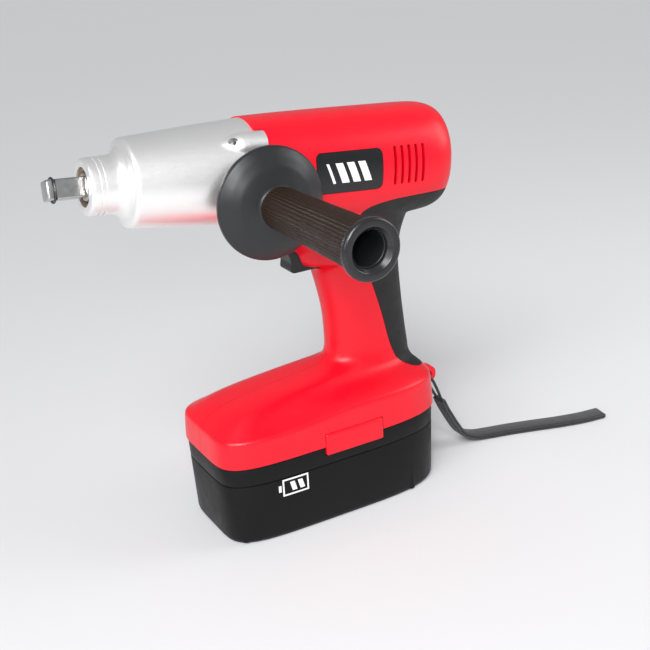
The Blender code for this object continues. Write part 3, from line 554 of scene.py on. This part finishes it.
def plate_outline():
    half_x, half_z, corner = 25.0, 13.4, 4.0
    points = []
    for turn, sx, sz in ((0, 1, 1), (90, -1, 1), (180, -1, -1), (270, 1, -1)):
        centre = (-169.5 + sx * (half_x - corner), 0.6 + sz * (half_z - corner))
        points += arc(centre, corner, turn, turn + 90, 8)
    return points


def make_housing():
    outer = melted(join(barrel("outer"), stem("outer_stem")), 0.95, 10)
    red = copy_of(outer, "red")
    cut(red, prism("rubber_recess", grown(rubber_outline(), GAP), -60, 60))
    for side in (1, -1):
        cut(red, prism("plate_recess", grown(plate_outline(), GAP), *sorted((side * 22, side * 50))))
    join(red, barrel("under_skin", SKIN), stem("under_stem", SKIN))
    lug_x, lug_z = LUG
    lug = join(rod("lug", (lug_x, -4, lug_z), (lug_x, 4, lug_z), 7.0, segments=48),
               block("lug_root", (lug_x + 1, -3.8, lug_z - 6.6), (-80, 3.8, lug_z + 6.6)))
    join(red, melted(lug, 0.5, 4))
    cut(red, barrel("barrel_inside", 2 * SKIN, count=48), stem("stem_inside", 2 * SKIN, 2.5, count=48))
    bosses = [rod("screw_boss", (x, -head - 2, z), (x, 15 if z > 100 else 30, z), 4.4, segments=24)
              for x, z, head in HOUSING_SCREWS]
    bosses += [rod("front_boss", (-110, y, z), (-128, y, z), 3.4, DRIVE, 24) for y, z in ear_points()]
    join(red, *bosses)
    cut(red, block("below_seam", (-200, -80, 0), (200, 80, SEAM_Z)))
    cut(red, block("front_trim", (CASE_REAR - GAP, -60, -70), (60, 60, 60), DRIVE))
    for turn in ear_turns():
        cut(red, loft("ear_notch", [ear_ring(x, turn, EAR_TOP, EAR_HALF, GAP) for x in (EAR_REAR - GAP, -80)], DRIVE))
    for side in (1, -1):
        low = (HANDLE_AT.x, side * 20, HANDLE_AT.z)
        high = (HANDLE_AT.x, side * 45, HANDLE_AT.z)
        cut(red, rod("boss_notch", low, high, 12.3, DRIVE, 56))
        button = [(BUTTON_X[0] - GAP, side * 38, SEAM_Z - 6), (BUTTON_X[1] + GAP, side * 52, BUTTON_Z[1] + GAP)]
        low, high = (tuple(pick(pair) for pair in zip(*button)) for pick in (min, max))
        cut(red, block("button_slot", low, high, bevel=0.6))
        for k in range(5):
            x = -204.5 - 5.6 * k
            low, high = sorted((side * 29, side * 50))
            cut(red, block("vent", (x - 1.1, low, -11.5), (x + 1.1, high, 14.5), DRIVE, 1.0))
    cut(red, block("trigger_slot", (-20, -9.2, 176.4), (44, 9.2, 198.2), bevel=1.0))
    cut(red, rod("slider_hole", (4, -40, 203.6), (4, 40, 203.6), 4.8))
    cut(red, rod("lug_hole", (lug_x, -12, lug_z), (lug_x, 12, lug_z), 3.1))
    for x, z, head in HOUSING_SCREWS:
        cut(red, rod("screw_clear", (x, 11, z), (x, -head - 2, z), 1.9, segments=16))
        cut(red, rod("screw_sink", (x, -head, z), (x, -60, z), 3.6, segments=32))
    for word, side in (("left", 1), ("right", -1)):
        low, high = sorted((side * GAP / 2, -side * 80))
        half = cut(copy_of(red, f"housing_{word}_shell"), block("other_half", (-200, low, -20), (200, high, 320)))
        piece(half, RED, "housing", "red_plastic", f"housing_{word}")
    bpy.data.objects.remove(red)
    make_rubber(outer)
    make_name_plates(outer)
    bpy.data.objects.remove(outer)


def make_rubber(outer):
    rubber = combine(copy_of(outer, "rubber_strip"), "INTERSECT", prism("rubber_border", rubber_outline(), -60, 60))
    cut(rubber, barrel("rubber_under", SKIN - GAP), stem("rubber_stem_under", SKIN - GAP))
    piece(rubber, RUBBER_LOOK, "housing", "black_rubber", "rubber_back_strap")


def make_name_plates(outer):
    """Black plates with plain slanted bars printed on them."""
    for word, side in (("left", 1), ("right", -1)):
        reach = sorted((side * 24, side * 48))
        plate = combine(copy_of(outer, f"plate_{word}"), "INTERSECT", prism("plate_border", plate_outline(), *reach))
        raised = copy_of(plate, f"plate_{word}_print")
        cut(plate, barrel("plate_under", SKIN - GAP))
        piece(plate, LABEL, "housing", "name_plate", f"name_plate_{word}")
        raised.data.transform(Matrix.Translation((0, side * 0.12 * MM, 0)))
        bars = []
        for x, width in ((-180.5, 5.5), (-172.0, 5.5), (-163.5, 5.5), (-155.0, 2.0)):
            lean = 2.6
            corners = [(x - width / 2 - lean, -6.2), (x + width / 2 - lean, -6.2), (x + width / 2 + lean, 7.0), (x - width / 2 + lean, 7.0)]
            bars.append(prism("bar", [(px, pz) for px, pz in corners], *reach))
        combine(raised, "INTERSECT", merged("bars", bars))
        cut(raised, barrel("print_under", 0.6))
        piece(raised, PRINT, "housing", "name_plate")


# ---------------------------------------------------------------- hammer case and drive

def make_hammer_case():
    profile = rounded([
        (-111.4, 0), (-111.4, 35.2), (-107.4, 34.9), (-70, 32.2), (-30, 28.9), (-26.2, 28.6), (-24.6, 27.2), (-23.4, 22.6),
        (-20.6, 19.4), (-17.5, 18.6), (-1.0, 18.0), (0, 17.2), (0, 0),
    ], 0.9)
    case = turned("hammer_case_body", profile, segments=160)
    for turn in ear_turns():
        stations = ((-74, 31.0, 4.0), (-83, 33.2, 6.0), (-90, 35.2, 7.2), (-96, 37.6, 7.8),
                    (-101, EAR_TOP, EAR_HALF), (-116, EAR_TOP, EAR_HALF))
        join(case, loft("ear", [ear_ring(x, turn, top, half) for x, top, half in stations], DRIVE))
    for side in (1, -1):
        low = (HANDLE_AT.x, side * 30, HANDLE_AT.z)
        high = (HANDLE_AT.x, side * 37, HANDLE_AT.z)
        join(case, rod("handle_boss", low, high, 12.0, DRIVE, 64))
    case = melted(case, 0.75, 7)
    cavity = [(-118, 0), (-118, 29.6), (-107.4, 29.6), (-40, 26), (-28, 24.6), (-27, 12.5), (4, 12.5), (4, 0)]
    cut(case, turned("cavity", cavity))
    for x, depth in ((-6.2, 17.5), (-9.4, 17.6)):
        groove = [(x - 0.45, depth), (x - 0.45, 30), (x + 0.45, 30), (x + 0.45, depth)]
        cut(case, turned("groove", groove))
    for y, z in ear_points():
        cut(case, rod("screw_hole", (-120, y, z), (-90, y, z), 1.9, DRIVE, 24))
        pocket = rounded([(-96, 0), (-96, 3.5), (-90.5, 3.5), (-88.0, 2.4), (-87.0, 0)], 1.2)
        out = Matrix.Translation(Vector((0, y, z)) * MM)
        cut(case, turned("head_recess", pocket, DRIVE @ out @ Matrix.Rotation(math.pi / 2, 4, "Y"), 40))
    for side in (1, -1):
        low = (HANDLE_AT.x, side * 26, HANDLE_AT.z)
        high = (HANDLE_AT.x, side * 40, HANDLE_AT.z)
        cut(case, rod("stud_hole", low, high, 5.3, DRIVE, 48))
    behind = block("behind_case", (-130, -60, -60), (CASE_REAR, 60, 60), DRIVE)
    for turn in ear_turns():
        cut(behind, loft("ear_stays", [ear_ring(x, turn, EAR_TOP, EAR_HALF, 1.0) for x in (EAR_REAR, -100)], DRIVE))
    for side in (1, -1):
        low = (HANDLE_AT.x, side * 28, HANDLE_AT.z)
        high = (HANDLE_AT.x, side * 44, HANDLE_AT.z)
        cut(behind, rod("boss_stays", low, high, 12.0, DRIVE, 64))
    cut(case, behind)
    piece(case, CAST, "housing", "cast_aluminium", "hammer_case")


def make_drive():
    side = 12.7 / 2
    square = block("anvil_square", (-23, -side, -side), (24.2, side, side), DRIVE @ Matrix.Rotation(math.radians(18), 4, "X"), 1.3, 4)
    shaft = rounded([(-36.5, 0), (-36.5, 11.5), (-26.4, 11.5), (-26.4, 9.1), (-1.5, 9.1), (-0.4, 8.3), (-0.4, 0)], 0.5)
    join(square, turned("shaft", shaft))
    wings = block("wings", (-36, -21.5, -5), (-28.6, 21.5, 5), DRIVE, 0.8)
    join(square, wings)
    cut(square, turned("ring_groove", [(18.2, 6.4), (18.2, 12), (20.4, 12), (20.4, 6.4)]))
    cut(square, turned("tip_round", [(24.9, 7.0), (24.9, 12), (19.0, 12), (20.6, 9.6), (22.6, 8.6), (24.0, 7.4)]))
    cut(square, rod("spindle_pocket", (-40, 0, 0), (-23.2, 0, 0), 5.4, DRIVE))
    piece(square, STEEL, "anvil", "steel", "anvil")
    turns = np.linspace(0, 2 * math.pi, 13)[:-1]
    ring = turned("friction_ring_wire", [(19.3 + 0.7 * math.cos(t), 7.55 + 0.75 * math.sin(t)) for t in turns])
    piece(ring, DARK_STEEL, "anvil", "dark_steel", "friction_ring")
    bushing = rounded([(-25.6, 9.4), (-25.6, 12.2), (-1, 12.2), (-1, 10.6), (-2, 9.4)], 0.5, closed=True)
    piece(turned("nose_bushing_ring", bushing), BRONZE, "housing", "bronze", "nose_bushing")


# ---------------------------------------------------------------- side handle

RIB = 0.5                 # height of the sleeve's ribs


def rib_wobble(t, height):
    """Lengthwise ribs on the sleeve, crossed by fine notches near the guard."""
    depth = RIB * (0.5 + 0.5 * math.cos(40 * t))
    if 60 < height < 108 and (height / 2.2) % 1 < 0.42:
        depth *= 0.2
    return depth - RIB


def make_side_handle():
    core = rounded([
        (38.6, 5.3), (38.6, 10.5), (45.5, 11), (47.6, 16), (45.8, 24), (42.6, 31), (39.4, 35.4), (38.6, 36.2),
        (38.6, 37.1), (41.2, 37.1), (42.4, 36.2), (45.4, 31.8), (48.6, 25), (50.8, 17), (51.6, 13.6), (52.6, 12.2),
        (158.9, 12.2), (158.9, 10.6), (66, 10.6), (66, 5.3),
    ], 1.6, closed=True)
    piece(turned("side_handle_guard", core, HANDLE, 160), GUARD, "handle", "black_plastic", "side_handle_core")
    path = [(53, 12.5), (53, 13.4), (56, 13.8), (100, 14.5), (150, 15.5), (158.9, 15.9), (158.9, 12.5)]
    dense = [path[0]]
    for (h0, r0), (h1, r1) in zip(path[1:5], path[2:6]):
        steps = max(1, round((h1 - h0) / 0.55))
        dense += [(h0 + (h1 - h0) * k / steps, r0 + (r1 - r0) * k / steps) for k in range(steps)]
    dense += path[5:]
    ribs = turned("side_handle_ribs", dense, HANDLE, 320, rib_wobble)
    piece(ribs, SLEEVE, "handle", "sleeve_rubber", "side_handle_sleeve", sharp=60)
    end_ring = rounded([
        (159.2, 10.8), (159.2, 17.4), (160.2, 18.5), (163.2, 18.5), (164.4, 17.2), (164.4, 13.6), (163.2, 12.6), (161.2, 10.8),
    ], 0.8, closed=True)
    piece(turned("side_handle_lip", end_ring, HANDLE, 128), LIP, "handle", "black_plastic", "side_handle_end_ring")


# ---------------------------------------------------------------- trigger, slider and release buttons

def make_controls():
    outline = [(17, 197.2), (14.4, 192.6), (12.4, 188.0), (11.6, 184.0), (12.2, 180.8), (12.5, 179.0), (11.6, 177.4),
               (9.6, 176.8), (-8, 176.8), (-8, 197.2)]
    trigger = melted(prism("trigger_shoe", outline, -8.6, 8.6, BASE), 0.4, 6)
    join(trigger, rod("plunger", (-7, 0, 187), (-20, 0, 187), 2.4))
    piece(trigger, BLACK, "trigger", "black_plastic", "trigger")
    profile = rounded([(-25.5, 0), (-25.5, 4.4), (25.5, 4.4), (25.5, 0)], 1.2)
    slider = turned("direction_pin", profile, Matrix.Translation((4 * MM, 0, 203.6 * MM)) @ Matrix.Rotation(-math.pi / 2, 4, "X"), 48)
    join(slider, block("slider_fork", (1.5, -3, 198.8), (6.5, 3, 201)))
    piece(slider, BLACK, "direction", "black_plastic", "direction_slider")
    for word, side in (("left", 1), ("right", -1)):
        low, high = sorted((side * 42.0, side * 47.3))
        size = (BUTTON_X[0], low, BUTTON_Z[0]), (BUTTON_X[1], high, BUTTON_Z[1])
        button = block(f"release_{word}_tab", *size, bevel=1.6, segments=5)
        piece(button, RED, f"release_{word}", "red_plastic", f"release_button_{word}")


# ---------------------------------------------------------------- battery

def stack(name, levels):
    return loft(name, [[(x, y, z) for x, y in plan(inset)] for z, inset in levels])


def battery_screws():
    return [(76.5, 34.0), (76.5, -34.0), (-57.0, 38.0), (-57.0, -38.0)]


def make_battery():
    tray = stack("battery_tray_shell", [
        (0.0, 5.6), (0.5, 4.6), (1.4, 3.8), (2.8, 3.1), (4.5, 2.7), (44.6, 1.5), (45.3, 1.7), (45.7, 2.2),
    ])
    cut(tray, stack("tray_inside", [(2.6, 5.2), (60, 4.2)]))
    lid = stack("battery_lid_shell", [(46.0, 2.2), (46.4, 1.7), (47.1, 1.5), (57.6, 1.1), (59.4, 1.5), (60.2, 2.4)])
    cut(lid, stack("lid_inside", [(40, 3.8), (57.6, 3.8)]))
    join(lid, block("stem", (-72, -13, 57), (-28, 13, 84), bevel=2.0))
    cut(lid, block("stem_inside", (-69.5, -10.5, 50), (-30.5, 10.5, 81.5)))
    for side in (1, -1):
        low, high = sorted((side * 38.6, side * 52))
        cut(lid, block("button_pocket", (BUTTON_X[0] - GAP, low, BUTTON_Z[0] - GAP), (BUTTON_X[1] + GAP, high, 64)))
    for x, y in battery_screws():
        join(tray, rod("tray_pillar", (x, y, 1.5), (x, y, 45.4), 3.6))
        cut(tray, rod("tray_hole", (x, y, -2), (x, y, 50), 1.9), rod("tray_sink", (x, y, -2), (x, y, 5.0), 3.4))
    piece(tray, PACK, "battery", "black_plastic", "battery_tray")
    piece(lid, PACK, "battery", "black_plastic", "battery_lid")
    make_battery_print()


def make_battery_print():
    """Plain pictogram of a cell on the left side near the front: a frame, its terminal and two bars."""
    shapes = [
        [(30, 32), (50, 32), (50, 33.2), (30, 33.2)], [(30, 43.8), (50, 43.8), (50, 45), (30, 45)],
        [(30, 32), (31.2, 32), (31.2, 45), (30, 45)], [(48.8, 32), (50, 32), (50, 45), (48.8, 45)],
        [(51.0, 36), (53.0, 36), (53.0, 41), (51.0, 41)],
        [(33, 35), (36.6, 35), (38.4, 42), (34.8, 42)], [(39, 35), (42.6, 35), (44.4, 42), (40.8, 42)],
    ]
    face = stack("print_face", [(28, 1.85), (48, 1.35)])
    bars = merged("print_bars", [prism("bar", shape, 30, 50, BASE) for shape in shapes[:2]])
    for shape in shapes[2:4]:
        bars = join(bars, prism("bar", shape, 30, 50, BASE))
    for shape in shapes[4:]:
        bars = merged("print_bars", [bars, prism("bar", shape, 30, 50, BASE)])
    combine(face, "INTERSECT", bars)
    cut(face, stack("print_under", [(26, 2.4), (50, 1.9)]))
    face.name = "battery_pictogram"
    piece(face, PRINT, "battery", "name_plate")


# ---------------------------------------------------------------- screws

def make_screws():
    for k, (y, z) in enumerate(ear_points()):
        place = DRIVE @ Matrix.Translation(Vector((0, y, z)) * MM) @ Matrix.Rotation(math.pi / 2, 4, "Y")
        shape = rounded([(-124, 0), (-124, 1.5), (-95.6, 1.5), (-95.6, 3.1), (-92.6, 3.1), (-92.0, 0)], 0.5)
        screw = turned(f"case_screw_{k + 1}_head", shape, place, 40)
        cut(screw, rod("socket", (0, 0, -93.6), (0, 0, -90), 1.4, place, 6))
        piece(screw, STEEL, "housing", "dark_steel", f"case_screw_{k + 1}")
    for k, (x, z, head) in enumerate(HOUSING_SCREWS):
        place = Matrix.Translation(Vector((x, 0, z)) * MM) @ Matrix.Rotation(-math.pi / 2, 4, "X")
        shape = rounded([(10, 0), (10, 1.5), (-head - 0.4, 1.5), (-head - 0.4, 3.1), (-head - 2.6, 3.1), (-head - 3, 0)], 0.5)
        screw = turned(f"housing_screw_{k + 1}_head", shape, place, 40)
        cross = join(block("slot", (-2.1, -0.45, -head - 4), (2.1, 0.45, -head - 1.6), place),
                     block("slot", (-0.45, -2.1, -head - 4), (0.45, 2.1, -head - 1.6), place))
        cut(screw, cross)
        piece(screw, DARK_STEEL, "housing", "dark_steel", f"housing_screw_{k + 1}")
    for k, (x, y) in enumerate(battery_screws()):
        place = Matrix.Translation(Vector((x, y, 0)) * MM)
        shape = rounded([(54, 0), (54, 1.5), (4.7, 1.5), (4.7, 2.9), (2.6, 2.9), (2.3, 0)], 0.4)
        screw = turned(f"battery_screw_{k + 1}_head", shape, place, 32)
        cut(screw, join(block("slot", (-1.9, -0.4, 1), (1.9, 0.4, 3.6), place), block("slot", (-0.4, -1.9, 1), (0.4, 1.9, 3.6), place)))
        piece(screw, DARK_STEEL, "battery", "dark_steel", f"battery_screw_{k + 1}")


# ---------------------------------------------------------------- wrist strap

def strap_frame(path):
    """Direction and side of a strap at each point of its path, in millimetres."""
    frames = []
    for i, at in enumerate(path):
        along = (path[min(i + 1, len(path) - 1)] - path[max(i - 1, 0)]).normalized()
        across = Vector((0, 1, 0))
        side = (across - along * across.dot(along)).normalized()
        frames.append((at, side, along.cross(side)))
    return frames


def make_strap():
    lug = Vector((LUG[0], 0, LUG[1]))
    down = Vector((-0.42, 0, -0.91)).normalized()
    centre = lug + down * 6.7
    bend = [centre + Vector((0, 6.5 * math.cos(t), 0)) - down * 6.5 * math.sin(t) for t in np.linspace(0, math.pi, 25)]
    leg = [centre + Vector((0, 6.5 * s, 0)) + down * d for s, d in ((0.5, 22.0), (0.6, 18.0), (0.78, 13.2), (0.93, 6.6))]
    far = [Vector((p.x, -p.y, p.z)) for p in reversed(leg)]
    route = [Vector(p) for p in through([tuple(p) for p in leg + bend + far], 3)]
    curve = bpy.data.curves.new("strap_loop_cord", "CURVE")
    curve.dimensions = "3D"
    curve.bevel_depth = 1.1 * MM
    curve.bevel_resolution = 4
    curve.use_fill_caps = True
    spline = curve.splines.new("POLY")
    spline.points.add(len(route) - 1)
    for point, at in zip(spline.points, route):
        point.co = (*(at * MM), 1)
    cord = bpy.data.objects.new("strap_loop_cord", curve)
    bpy.context.scene.collection.objects.link(cord)
    piece(cord, BRAID, "housing", "webbing", "strap_cord")

    start = centre + down * 21.2
    stops = [start, start + down * 12, Vector((-126.5, 0.5, 13.5)), Vector((-133.0, 1.0, 7.2)), Vector((-142.0, 2.2, 3.6)),
             Vector((-153.0, 4.5, 2.6)), Vector((-170.0, 9.0, 2.5)), Vector((-190.0, 15.5, 2.5)), Vector((-210.0, 22.5, 2.5)),
             Vector((-230.0, 28.0, 2.5)), Vector((-247.0, 30.5, 2.5))]
    path = [Vector(p) for p in through([tuple(p) for p in stops], 8)]
    webbing = make_webbing(path)
    piece(webbing, WEBBING, "housing", "webbing", "wrist_strap", sharp=50)


def make_webbing(path):
    """Two layers of webbing that part in the middle, meet at the sewn end and fold over at the far end."""
    frames = strap_frame(path)
    count = len(frames)
    thick, half = 1.9, 6.4
    outline = []
    for layer in (1, -1):
        rows = frames if layer > 0 else frames[::-1]
        for index, (at, side, up) in enumerate(rows):
            share = index / (count - 1)
            share = share if layer > 0 else 1 - share
            gap = 0.15 + 0.5 * math.sin(math.pi * min(1.0, share * 1.02)) + 1.0 * max(0.0, share - 0.8) * 2
            outline.append((at, side, up * layer, gap / 2 + thick / 2, layer))
        if layer > 0:
            at, side, up = frames[-1]
            along = side.cross(up)
            gap = outline[-1][3]
            for k in range(1, 8):
                t = math.pi * k / 8
                turn = up * math.cos(t) + along * math.sin(t)
                outline.append((at, side, turn, gap, 1))
    corners = [(half, thick / 2 - 0.5), (half - 0.5, thick / 2), (-half + 0.5, thick / 2), (-half, thick / 2 - 0.5),
               (-half, -thick / 2 + 0.5), (-half + 0.5, -thick / 2), (half - 0.5, -thick / 2), (half, -thick / 2 + 0.5)]
    verts, run, distance = [], [], 0.0
    previous = None
    for at, side, out, offset, layer in outline:
        middle = at + out * offset
        distance += (middle - previous).length if previous else 0.0
        previous = middle
        run.append(distance)
        verts += [middle + side * a + out * b for a, b in corners]
    rings = [verts[k:k + len(corners)] for k in range(0, len(verts), len(corners))]
    webbing = loft("wrist_strap_webbing", rings)
    uv = webbing.data.uv_layers.new(name="weave")
    for loop in webbing.data.loops:
        row, corner = divmod(loop.vertex_index, len(corners))
        uv.data[loop.index].uv = (corners[corner][0], run[row])
    return webbing


# ---------------------------------------------------------------- what stays as packed

def dress_packed_nodes():
    looks = {
        STEEL: ["spindle", "hammer_spring", "planet_pin_1", "planet_pin_2", "planet_pin_3", "planet_gear_1", "planet_gear_2",
                "planet_gear_3", "motor_pinion", "trigger_spring", "release_spring_left", "release_spring_right",
                "side_handle_stud", "side_handle_washer", "carrier_bearing"],
        RING_STEEL: ["hammer", "ring_gear"],
        DARK_STEEL: ["motor_can", "brush_left", "brush_right"],
        CAST: ["gearbox_plate"],
        COPPER: ["armature"],
        BLACK: ["motor_end_cap", "motor_fan", "switch_body", "contact_block", "terminal_block"],
        CELL: ["cell_pack"],
    }
    for look, names in looks.items():
        for name in names:
            data = NODES[name].data
            data.materials.clear()
            data.materials.append(look)


# ---------------------------------------------------------------- camera, lights and floor

def aim(obj, position, target, roll=0.0):
    obj.rotation_mode = "QUATERNION"
    turn = (Vector(target) - Vector(position)).to_track_quat("-Z", "Y")
    obj.location = position
    obj.rotation_quaternion = turn @ Matrix.Rotation(roll, 3, "Z").to_quaternion()


def area_light(name, position, target, size, power, colour=(1.0, 1.0, 1.0)):
    data = bpy.data.lights.new(name, "AREA")
    data.shape = "RECTANGLE"
    data.size, data.size_y = size
    data.energy = power
    data.color = colour
    light = bpy.data.objects.new(name, data)
    bpy.context.scene.collection.objects.link(light)
    aim(light, position, target)


def make_studio():
    camera = bpy.data.objects.new("camera", bpy.data.cameras.new("camera"))
    bpy.context.scene.collection.objects.link(camera)
    camera.data.lens = 65.0
    aim(camera, (0.3487, 0.6906, 0.4408), (-0.002, 0.025, 0.141), math.radians(-4.1))
    bpy.context.scene.camera = camera
    sun = bpy.data.lights.new("sun", "SUN")
    sun.energy = 2.3
    sun.angle = math.radians(28)
    lamp = bpy.data.objects.new("sun", sun)
    bpy.context.scene.collection.objects.link(lamp)
    aim(lamp, (0.62, 0.75, 1.05), (0, 0, 0.12))
    area_light("front_softbox", (0.42, 0.78, 0.56), (0.0, 0.02, 0.16), (0.16, 0.16), 3.4)
    area_light("side_softbox", (0.95, 0.45, 0.7), (0.02, 0.02, 0.2), (0.35, 0.8), 4.0)
    area_light("rear_softbox", (-0.85, 0.35, 0.6), (0, 0, 0.15), (0.5, 0.6), 3.0)
    floor = mesh_object("floor", [(-15000, -15000, 0), (15000, -15000, 0), (15000, 15000, 0), (-15000, 15000, 0)], [(0, 1, 2, 3)])
    look = Look("floor_look", (0.7, 0.7, 0.71), 0.7)
    look.tint(look.noise(2.0, 2.0), 0.98, 1.0)
    floor.data.materials.append(look.mat)
    world = bpy.data.worlds.new("studio")
    world.use_nodes = True
    world.node_tree.nodes["Background"].inputs["Color"].default_value = (0.95, 0.97, 1.0, 1.0)
    world.node_tree.nodes["Background"].inputs["Strength"].default_value = 0.36
    bpy.context.scene.world = world
    bpy.context.scene.view_settings.view_transform = "Standard"


make_housing()
make_hammer_case()
make_drive()
make_side_handle()
make_controls()
make_battery()
make_screws()
make_strap()
dress_packed_nodes()
make_studio()
